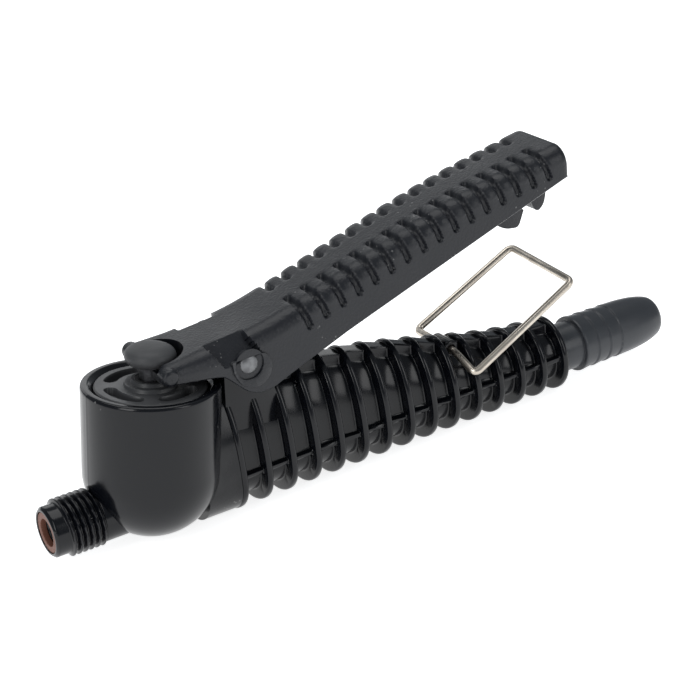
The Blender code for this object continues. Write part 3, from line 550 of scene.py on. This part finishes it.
# %% [markdown]
# The grip is one run of sections. Between fins the section is the core, with a
# ledge down each side and a flat rib on top; at a fin it swells to an egg shape.
# A fin's edge is rounded by a few sections that shrink towards each face.

# %% Grip
FIN_FIRST, FIN_STEP, FIN_COUNT, FIN_T = 45.7, 6.73, 15, 1.7
FIN_LOW, TOP_FRONT, TOP_REAR, TOP_POWER = 9.35, 23.0, 10.0, 1.35
HALF_FRONT, HALF_REAR, POINTS = 11.0, 9.3, 144
t_ring = np.linspace(0, 2 * np.pi, POINTS, endpoint=False) - np.pi / 2


def run_share(x):
    return max(0.0, (x - FIN_FIRST) / (FIN_STEP * (FIN_COUNT - 1)))


def crest_height(x):
    """Half a cosine wave from the front height to the rear height."""
    wave = 0.5 + 0.5 * math.cos(math.pi * min(1.0, run_share(x)) ** TOP_POWER)
    return TOP_REAR + (TOP_FRONT - TOP_REAR) * wave


def half_width(x):
    return HALF_FRONT + (HALF_REAR - HALF_FRONT) * run_share(x)


def egg(x, inset, at):
    """Fin section: half width times cosine across; crest or bottom height times sine up or down."""
    up_ = np.sin(t_ring)
    z = np.where(up_ > 0, (crest_height(at) - inset) * up_, (FIN_LOW - inset) * up_)
    return np.stack([np.full(POINTS, x), (half_width(at) - inset) * np.cos(t_ring), z], -1)


def even(points, count):
    """Points spaced evenly along a closed outline, starting from its first point."""
    loop = np.concatenate([points, points[:1]])
    length = np.concatenate([[0], np.cumsum(np.hypot(*np.diff(loop, axis=0).T))])
    at = np.linspace(0, length[-1], count, endpoint=False)
    return np.stack([np.interp(at, length, loop[:, 0]), np.interp(at, length, loop[:, 1])], 1)


def core(x, grow, at):
    """Core section: egg shape three millimetres in, a ledge each side and a rib on top."""
    top, low, half = crest_height(at) - 3.0 + grow, FIN_LOW - 3.0 + grow, half_width(at) - 3.0 + grow
    ledge, crest, rib = half_width(at) - 1.4, crest_height(at) - 0.9, 2.2 + grow
    below = np.radians(np.linspace(-90, -8, 12))
    foot = math.acos(min(1.0, rib / half))
    above = np.linspace(math.radians(12), foot, 14)
    side = [(half * math.cos(a), low * math.sin(a), 0) for a in below]
    side += [(half, 0.7 - grow, 0.1), (ledge, 0.7 - grow, 0.2), (ledge, 1.8 + grow, 0.2),
             (half, 1.8 + grow, 0.15)]
    side += [(half * math.cos(a), top * math.sin(a), 0) for a in above[:-1]]
    side += [(rib, top * math.sin(foot), 0.2), (rib, crest, 0.35), (0, crest, 0)]
    whole = side + [(-p[0], p[1], p[2]) for p in side[-2:0:-1]]
    yz = even(rounded(whole, 0, 3), POINTS)
    return np.stack([np.full(POINTS, x), yz[:, 0], yz[:, 1]], -1)


EDGE = ((-0.5, 0.75), (-0.47, 0.42), (-0.38, 0.16), (-0.24, 0.03), (0.0, 0.0),
        (0.24, 0.03), (0.38, 0.16), (0.47, 0.42), (0.5, 0.75))
rows = [egg(FIN_FIRST - 9.5, 0.25, FIN_FIRST), egg(FIN_FIRST - FIN_T / 2, 0.25, FIN_FIRST)]
for k in range(FIN_COUNT):
    x = FIN_FIRST + k * FIN_STEP
    if k:
        rows += [core(x - FIN_T / 2 - 0.5, 0.0, x), core(x - FIN_T / 2 - 0.28, 0.06, x),
                 core(x - FIN_T / 2 - 0.12, 0.25, x)]
        rows.append(egg(x - FIN_T / 2 - 0.05, 2.2, x))
    rows += [egg(x + share * FIN_T, inset, x) for share, inset in EDGE]
    if k < FIN_COUNT - 1:
        rows.append(egg(x + FIN_T / 2 + 0.05, 2.2, x))
        rows += [core(x + FIN_T / 2 + 0.12, 0.25, x), core(x + FIN_T / 2 + 0.28, 0.06, x),
                 core(x + FIN_T / 2 + 0.5, 0.0, x)]
end_bore = np.stack([np.zeros(POINTS), 4.45 * np.cos(t_ring), 4.45 * np.sin(t_ring)], -1)
last = FIN_FIRST + FIN_STEP * (FIN_COUNT - 1) + FIN_T / 2
rows += [end_bore + [last, 0, 0], end_bore + [last - 6, 0, 0]]
skin("grip_fins", np.stack(rows), "handle", "valve_body", along=False, sharp=42, holds=("valve_body",))

# %% [markdown]
# Lugs rise from the grip to carry the lever's rivet, and a small boss between two
# fins lets the wire turn. Both are flat outlines given a rounded thickness.

# %% Lug, eye and wire boss


def slab(outline, half, edge=0.3, steps=5):
    """Sheet of a flat outline (x, z) thickened across: inner copies shrink towards the middle
    at each face, so the edge is a quarter circle of the given radius."""
    centre = outline.mean(0)
    reach = np.hypot(*(outline - centre).T)[:, None]
    rows = []
    turn_ = np.linspace(0, np.pi / 2, steps)
    for side, order in ((-1, turn_), (1, turn_[::-1])):
        for a in order:
            inner = outline - (outline - centre) / reach * edge * (1 - np.sin(a))
            y = side * (half - edge + edge * np.cos(a))
            rows.append(np.stack([inner[:, 0], np.full(len(inner), y), inner[:, 1]], -1))
    return np.stack(rows)


PIVOT = np.array([50.3, 29.5])
WIRE_HINGE = (109.4, 11.9)
round_top = np.radians(np.linspace(180, 10, 24))
lug = np.concatenate([[(44.5, 8.0),
                       (45.6, 25.5)], PIVOT + 4.2 * np.stack([np.cos(round_top), np.sin(round_top)], 1),
                      [(57.5, 22.0), (60.0, 14.0), (60.0, 8.0)]])
skin("pivot_lug", slab(lug, 6.4), "handle", "valve_body", along=False, sharp=50, holds=("valve_body",))


def across(outline, x, z, steps=64):
    """Turned piece about an axis across the handle: outline is (radius, distance towards -Y)."""
    a = np.linspace(0, 2 * np.pi, steps, endpoint=False)
    r, h = outline[:, 0][:, None], outline[:, 1][:, None]
    return np.stack([x + r * np.cos(a), -h + 0 * a, z + r * np.sin(a)], -1)


eye = rounded([(2.0, -8.6), (2.9, -8.6), (2.9, 8.6), (2.0, 8.6)], 0.15, 3)
skin("pivot_eye", across(eye, *PIVOT), "handle", "valve_body", holds=("valve_body",))
boss = rounded([(1.02, -3.4), (2.2, -3.4), (2.2, 3.4), (1.02, 3.4)], 0.5, 5)
skin("wire_boss", across(boss, *WIRE_HINGE), "handle", "valve_body", holds=("valve_body",))

# %% [markdown]
# The hose tail is turned: stepped rings that grip, then a long taper to start the
# hose on. Each step faces the hand, because the hose pulls the other way.

# %% Hose tail
tail = [(3.0, 175.0), (3.6, 175.0, 0.3), (5.2, 174.2, 1.2), (6.3, 170.6, 2.4), (6.85, 166.0, 2.0),
        (7.0, 161.5, 1.0),
        (7.06, 159.95, 0.12), (6.74, 159.6, 0.12), (7.12, 156.2, 0.12), (6.82, 155.75, 0.12),
        (7.2, 152.4, 0.12),
        (6.88, 151.95, 0.12), (7.3, 148.5, 0.15), (7.2, 148.05, 0.12), (6.25, 148.0, 0.15),
        (6.25, 141.2, 0.2),
        (4.4, 141.0), (4.4, 130.0), (3.0, 130.0)]
skin("tail_turned", lathe_along(rounded(tail, 0.25, 5), 192), "handle", "hose_tail", sharp=40,
     holds=("hose_tail",))

# %% [markdown]
# The cap is a disc with four curved slots for a pin wrench and a stepped collar
# round the stem. The slots are sunk by lowering the sheet where its points fall
# inside them, with a short slope for each wall.

# %% Cap, wiper and button
CAP_TOP = 20.3
r_cap = np.concatenate([[2.55, 3.7], np.linspace(3.72, 12.6, 110), [12.75, 12.85, 12.88]])
a_cap = np.linspace(0, 2 * np.pi, 360, endpoint=False)
rr, aa = np.meshgrid(r_cap, a_cap, indexing="ij")


def step_up(value, edge, width=0.1):
    """0 below the edge, 1 above it, with a smooth rise as wide as width."""
    t = np.clip((value - edge) / width + 0.5, 0, 1)
    return t * t * (3 - 2 * t)


height = (CAP_TOP + 0.8 * (1 - step_up(rr, 6.1, 0.3)) + 0.8 * (1 - step_up(rr, 4.5, 0.2))
          - 1.15 * (1 - step_up(rr, 3.66, 0.1)))
quarter = (aa + math.radians(25) + np.pi) % (np.pi / 2) - np.pi / 4
middle, spread = 9.5, math.radians(26)
off_arc = np.maximum(0, np.abs(quarter) - spread) * middle
from_slot = np.hypot(off_arc, rr - middle)
height = height - 1.9 * (1 - step_up(from_slot, 1.45, 0.25))
height = height - 0.35 * step_up(rr, 12.7, 0.3)
top_sheet = np.stack([rr * np.cos(aa), rr * np.sin(aa), height], -1)
ring = [np.stack([r * np.cos(a_cap), r * np.sin(a_cap), np.full_like(a_cap, h)], -1)
        for r, h in ((12.88, 19.2), (12.95, 19.0), (12.95, 17.25), (2.55, 17.25))]
cap_sheet = np.concatenate([top_sheet, np.stack(ring)])
skin("cap_disc", on_chamber(cap_sheet), "handle", "valve_cap", sharp=55, holds=("valve_cap",))
wiper = rounded([(2.55, CAP_TOP + 0.45), (3.65, CAP_TOP + 0.45), (3.65, CAP_TOP + 1.5),
                 (2.55, CAP_TOP + 1.5)], 0.25, 4)
skin("wiper_ring", on_chamber(lathe(wiper)), "handle", "stem_wiper", holds=("stem_wiper",))
button = [(0, 29.9, 0), (3.4, 29.75, 1.6), (5.3, 28.9, 1.1), (6.0, 27.6, 1.0), (5.75, 26.3, 0.6),
          (4.7, 25.35, 0.4),
          (2.75, 25.3), (2.75, 25.55), (1.65, 25.55), (1.65, 28.3), (0, 28.3, 0)]
button_sheet = lathe(rounded(button, 0.1, 8, closed=False), 160)
skin("button_knob", on_chamber(button_sheet), "valve_stem", "stem_button", along=False, sharp=50,
     holds=("stem_button",))

# %% [markdown]
# The latch is one drawn wire bent into a rectangle. Its near foot dips below the
# hinge line, so the path is worked out in three dimensions before it gets its thickness.

# %% Latch wire
REACH, WIDE, WIRE, DROP = 33.2, 12.0, 0.95, 3.8
REST = math.radians(22.6)


def bent(corners, size, steps):
    """Closed path in three dimensions, each corner rounded: (1-t)^2 back along the way in
    plus t^2 on along the way out, times the size of the bend."""
    corners = np.array(corners, float)
    into = corners - np.roll(corners, 1, 0)
    into /= np.linalg.norm(into, axis=1)[:, None]
    out = np.roll(into, -1, 0)
    t = np.linspace(0, 1, steps)[None, :, None]
    path = corners[:, None] - into[:, None] * size * (1 - t) ** 2 + out[:, None] * size * t ** 2
    return path.reshape(-1, 3)


line = bent([(0, WIDE, 0), (0, -4.4, 0), (-0.8, -WIDE, -DROP), (REACH, -WIDE, -1.3),
             (REACH, WIDE, 1.3)], 1.9, 16)
ahead = np.roll(line, -1, 0) - np.roll(line, 1, 0)
ahead /= np.linalg.norm(ahead, axis=1)[:, None]
flat = np.cross(ahead, (0, 0, 1))
flat /= np.linalg.norm(flat, axis=1)[:, None]
lift = np.cross(flat, ahead)
a = np.linspace(0, 2 * np.pi, 28, endpoint=False)[None, :, None]
loop = line[:, None] + flat[:, None] * WIRE * np.cos(a) + lift[:, None] * WIRE * np.sin(a)
c, s_ = math.cos(REST), math.sin(REST)
turn_wire = np.array([[c, 0, -s_], [0, 1, 0], [s_, 0, c]])
wire_sheet = loop @ turn_wire.T + np.array([WIRE_HINGE[0], 0, WIRE_HINGE[1]])
skin("wire_loop", wire_sheet, "latch", "latch_wire", sharp=60, holds=("latch_wire",))

# %% [markdown]
# The lever is a channel, made as two mirrored halves that meet on the middle plane.
# Every section is one closed line: up the outside, over the shoulder, in along the
# top, down the well wall, out below, and back down the inside. Grooves are pressed
# into the outside by moving its points inward along their own normal.

# %% Lever heights
BACK_LINE = np.array([(24.0, 33.9), (36.0, 34.7), (45.0, 35.4), (51.0, 35.9), (57.0, 36.9),
                      (63.0, 38.4), (70.0, 40.5), (80.0, 43.6),
                      (90.0, 46.6), (100.0, 49.5), (110.0, 52.1), (120.0, 54.3), (130.0, 56.2),
                      (142.0, 58.2), (150.0, 59.5)])
BACK_SLOPE = 0.27
LEVER_HALF, LEVER_WALL, WELL_FLOOR = 10.6, 1.8, 25.05
GROOVES, GROOVE_X, GROOVE_STEP = 16, 65.5, 4.62
WELL_X, WELL_R, SLOT_R = 31.0, 7.1, 2.95
low_line = np.array([(28.0, 31.8), (29.6, 31.4), (31.6, 30.2), (41.0, 28.8), (44.0, 28.2),
                     (46.5, 25.6), (49.5, 22.6),
                     (52.5, 21.4), (56.0, 21.6), (60.0, 23.2), (76.9, 29.3), (142.0, 50.1)])


def softened(line, x, reach=2.0):
    """Height on a line of points, averaged over a short stretch either side to round its corners."""
    spread = np.linspace(-reach, reach, 17)
    return np.interp(np.asarray(x)[:, None] + spread, line[:, 0], line[:, 1]).mean(1)


def back_height(x):
    return softened(BACK_LINE, x, 3.0)


def groove_depth(x, run):
    """Depth pressed in: a flat-bottomed slot with round ends, plus the gentle roundness of the ribs
    between slots. Run is the length walked down from the top's middle."""
    phase = (x - GROOVE_X + 0.5 * GROOVE_STEP) % GROOVE_STEP - 0.5 * GROOVE_STEP
    within = (x > GROOVE_X - GROOVE_STEP * 0.5) & (x < GROOVE_X + GROOVE_STEP * (GROOVES - 0.5))
    start, stop = 3.6, 14.8
    beyond = np.maximum(0, np.maximum(start - run, run - stop))
    away = np.hypot(phase, beyond)
    slot = 1 - step_up(away, 0.72, 0.4)
    fade = step_up(run, start - 0.4, 1.6) * (1 - step_up(run, stop - 0.5, 2.2))
    round_rib = 0.6 * (1 - np.sin(np.pi * np.clip(np.abs(phase) / (GROOVE_STEP / 2), 0, 1) / 2)) ** 1.3
    return within * (slot * 0.85 + round_rib * fade)


def faceted(x, y, z, top):
    """Flat facet across the shoulder over the rivet: points beyond its plane are brought back to it.
    The facet leans forward, so its two ends are slanted lines."""
    over = (y - 6.0) * 0.743 + (z - top + 0.2) * 0.669
    low = top - z
    inside = (x > 41.6 + low * 0.55) & (x < 51.4 + low * 0.45) & (low < 6.6)
    over = np.where(inside, np.maximum(0, over), 0)
    return y - over * 0.743, z - over * 0.669


def lever_half(side):
    """Sheet of one half. Rows follow the length, closer together where the grooves are."""
    xs = np.concatenate([[29.6, 29.75, 30.0, 30.4, 30.9], np.linspace(31.4, 38.8, 34), [38.9],
                         np.linspace(39.2, 44.0, 16),
                         np.linspace(44.4, 63.0, 44), np.arange(63.2, 139.4, 0.22),
                         [139.8, 140.4, 141.0, 141.5, 141.8, 142.0]])
    low = softened(low_line, xs, 0.9)
    top = back_height(xs)
    end_round = np.interp(xs, [29.6, 29.75, 30.0, 30.4, 30.9, 140.4, 141.0, 141.5, 141.8, 142.0],
                          [1.5, 1.0, 0.6, 0.25, 0, 0, 0.12, 0.4, 0.75, 1.2])
    top = top - end_round
    tall = np.minimum(1.0, 0.75 * (top - low) / 4.4)
    turn_ = np.linspace(0, np.pi / 2, 26)[None]
    corner = 4.0 * tall[:, None]
    outer_y = LEVER_HALF - end_round[:, None] * 0.35
    y_side = outer_y - corner * 1.05 * (1 - np.cos(turn_))
    z_side = top[:, None] - corner * (1 - np.sin(turn_))
    down = np.linspace(0, 1, 34)[None]
    y_wall = np.broadcast_to(outer_y, (len(xs), 34))
    z_wall = low[:, None] + 0.3 + (z_side[:, :1] - low[:, None] - 0.3) * down
    off = xs - WELL_X
    well_arc = np.sqrt(np.maximum(0, WELL_R ** 2 - (off - 0.8) ** 2))
    well = np.where(off < 0.8, WELL_R, well_arc)
    inward = np.linspace(0, 1, 26)[None]
    y_top = y_side[:, -1:] + (well[:, None] - y_side[:, -1:]) * inward
    z_top = np.broadcast_to(top[:, None], y_top.shape)
    y_out = np.concatenate([y_wall, y_side[:, 1:], y_top[:, 1:]], 1)
    z_out = np.concatenate([z_wall, z_side[:, 1:], z_top[:, 1:]], 1)
    # Length walked from the middle of the top, and the outward normal of each point
    dy, dz = np.gradient(y_out, axis=1), np.gradient(z_out, axis=1)
    size = np.maximum(1e-6, np.hypot(dy, dz))
    ny, nz = dz / size, -dy / size
    step = np.hypot(np.diff(y_out, axis=1), np.diff(z_out, axis=1))
    walked = np.concatenate([np.zeros((len(xs), 1)), np.cumsum(step[:, ::-1], axis=1)], 1)[:, ::-1]
    shift = (z_out - top[:, None]) * BACK_SLOPE
    deep = groove_depth(xs[:, None] + shift, walked)
    x_out = np.broadcast_to(xs[:, None], y_out.shape)
    y_out, z_out = faceted(x_out, y_out, z_out, top[:, None])
    y_out = y_out - ny * deep
    z_out = z_out - nz * deep
    outside = np.stack([x_out, y_out, z_out], -1)
    # Inner line: well wall, well floor, slot wall, underside, inner wall, bottom edge
    well_x = xs - CHAMBER[0] - WELL_FLOOR * math.sin(LEAN)
    floor_z = CHAMBER[2] + WELL_FLOOR * math.cos(LEAN) - well_x * math.tan(LEAN)
    slot = np.where(off < 0, SLOT_R, np.sqrt(np.maximum(0, SLOT_R ** 2 - off ** 2)))
    solid = np.clip((xs - 41.5) / 1.5, 0, 1)
    ceiling = (floor_z - 1.9) * (1 - solid) + (top - 2.2) * solid
    floor_z = np.minimum(floor_z, top - 0.02)
    inner = LEVER_HALF - LEVER_WALL
    round_in = solid * 1.5

    def leg(points):
        return np.stack([np.stack([xs, y + 0 * xs, z + 0 * xs], -1) for y, z in points], 1)

    inside = leg([(well, np.maximum(floor_z, ceiling + 0.01)),
                  (slot, np.maximum(floor_z, ceiling + 0.01)), (slot, ceiling),
                  (inner - 2.6 * solid - 0.3, ceiling), (inner - 1.2 * solid - 0.1,
                                                         ceiling - 0.27 * round_in),
                  (inner + 0 * xs, np.maximum(low + 0.35, ceiling - round_in)), (inner + 0 * xs, low + 0.3),
                  (inner + 0.3, low), (LEVER_HALF - 0.3, low)])
    sheet = np.concatenate([outside, inside], 1)
    sheet[..., 1] *= side
    return sheet


for side, word in ((-1, "near"), (1, "far")):
    skin("lever_" + word, lever_half(side), "lever", "lever", along=False, sharp=38, holds=("lever",))

# %% [markdown]
# Pads stand proud of both side walls round the rivet, the prongs end in round
# bosses, and a web under the free end carries the tooth and hook for the wire.

# %% Pads, prong bosses and catch web
pad = rounded([(45.9, 31.2, 0.5), (54.6, 31.4, 1.2), (56.2, 28.6, 1.5), (55.4, 25.2, 2.0),
               (52.2, 23.2, 2.0),
               (48.0, 24.6, 1.6), (46.2, 28.0, 0.8)], 0.5, 8)
pad = even(pad, 160)
from_pin = pad - PIVOT
spin = np.arctan2(from_pin[:, 1], from_pin[:, 0])


def pad_ring(offset, y):
    """One row of a pad: points at an offset from the pin, at a distance across."""
    return np.stack([PIVOT[0] + offset[0], np.full(len(offset[0]), y), PIVOT[1] + offset[1]], -1)


for side, word in ((-1, "near"), (1, "far")):
    rows = [pad_ring(from_pin.T * share, side * y)
            for share, y in ((1.0, 10.3), (1.0, 10.92), (0.995, 11.0), (0.985, 11.05))]
    rows += [pad_ring(radius * np.stack([np.cos(spin), np.sin(spin)]), side * y)
             for radius, y in ((3.75, 11.05), (3.62, 10.95), (3.6, 9.9), (2.0, 9.9), (2.0, 9.6))]
    skin("pad_" + word, np.stack(rows), "lever", "lever", sharp=40, holds=("lever",))
    ball = rounded([(0, side * 11.0, 0), (1.5, side * 11.0, 0.4), (2.05, side * 10.4, 0.5),
                    (2.05, side * 7.6, 0.5),
                    (1.5, side * 7.0, 0.4), (0, side * 7.0, 0)], 0.5, 6, closed=False)
    ball[:, 1] *= -1
    skin("prong_boss_" + word, across(ball, 30.9, 32.1), "lever", "lever", along=False, sharp=60,
         holds=("lever",))


def swung(x, z, angle):
    """Point turned about the rivet; a positive angle lowers the rear."""
    dx, dz = x - PIVOT[0], z - PIVOT[1]
    return (PIVOT[0] + dx * math.cos(angle) + dz * math.sin(angle),
            PIVOT[1] + dz * math.cos(angle) - dx * math.sin(angle))


held = math.radians(37.1)
bar = swung(WIRE_HINGE[0] + REACH * math.cos(held), WIRE_HINGE[1] + REACH * math.sin(held),
            math.radians(-7))
POCKET_R = 1.25
pocket = [(bar[0] + POCKET_R * math.cos(v), bar[1] + POCKET_R * math.sin(v), 0)
          for v in np.radians(np.linspace(250, 80, 18))]
web = rounded([(116.0, 46.0), (121.5, 42.6, 3.0), (127.8, 38.2, 1.5), (129.4, 37.5, 1.0),
               (132.2, 37.1, 0.6), (133.0, 37.8, 0.5)]
              + pocket + [(136.9, 43.2, 0.6), (137.3, 41.6, 0.6), (138.0, 40.1, 0.6),
                          (139.1, 39.8, 0.6), (140.6, 41.0, 1.0),
                          (141.4, 43.6, 1.0), (141.6, 56.4), (131.0, 55.4), (116.0, 52.3)], 0.3, 5)
skin("catch_web", slab(web, 1.9, 0.25), "lever", "lever", along=False, sharp=50, holds=("lever",))

# %% [markdown]
# Rivet head and shank, turned about the hinge line.

# %% Rivet
rivet = [(0, 11.3, 0), (1.5, 11.2, 0.6), (2.3, 10.75, 0.4), (2.4, 9.95, 0.1), (1.95, 9.95, 0.05),
         (1.95, -11.7, 0.1),
         (1.55, -12.1, 0.2), (0, -12.1, 0)]
skin("rivet", across(rounded(rivet, 0.1, 6, closed=False), *PIVOT, 96), "handle", "pivot_pin", along=False,
     sharp=45, holds=("pivot_pin",))

# %% Put the finishes on the carried pieces
for name, item in nodes.items():
    for slot in item.material_slots:
        slot.material = FINISH[name]
print("dressed", len(nodes), "pieces")
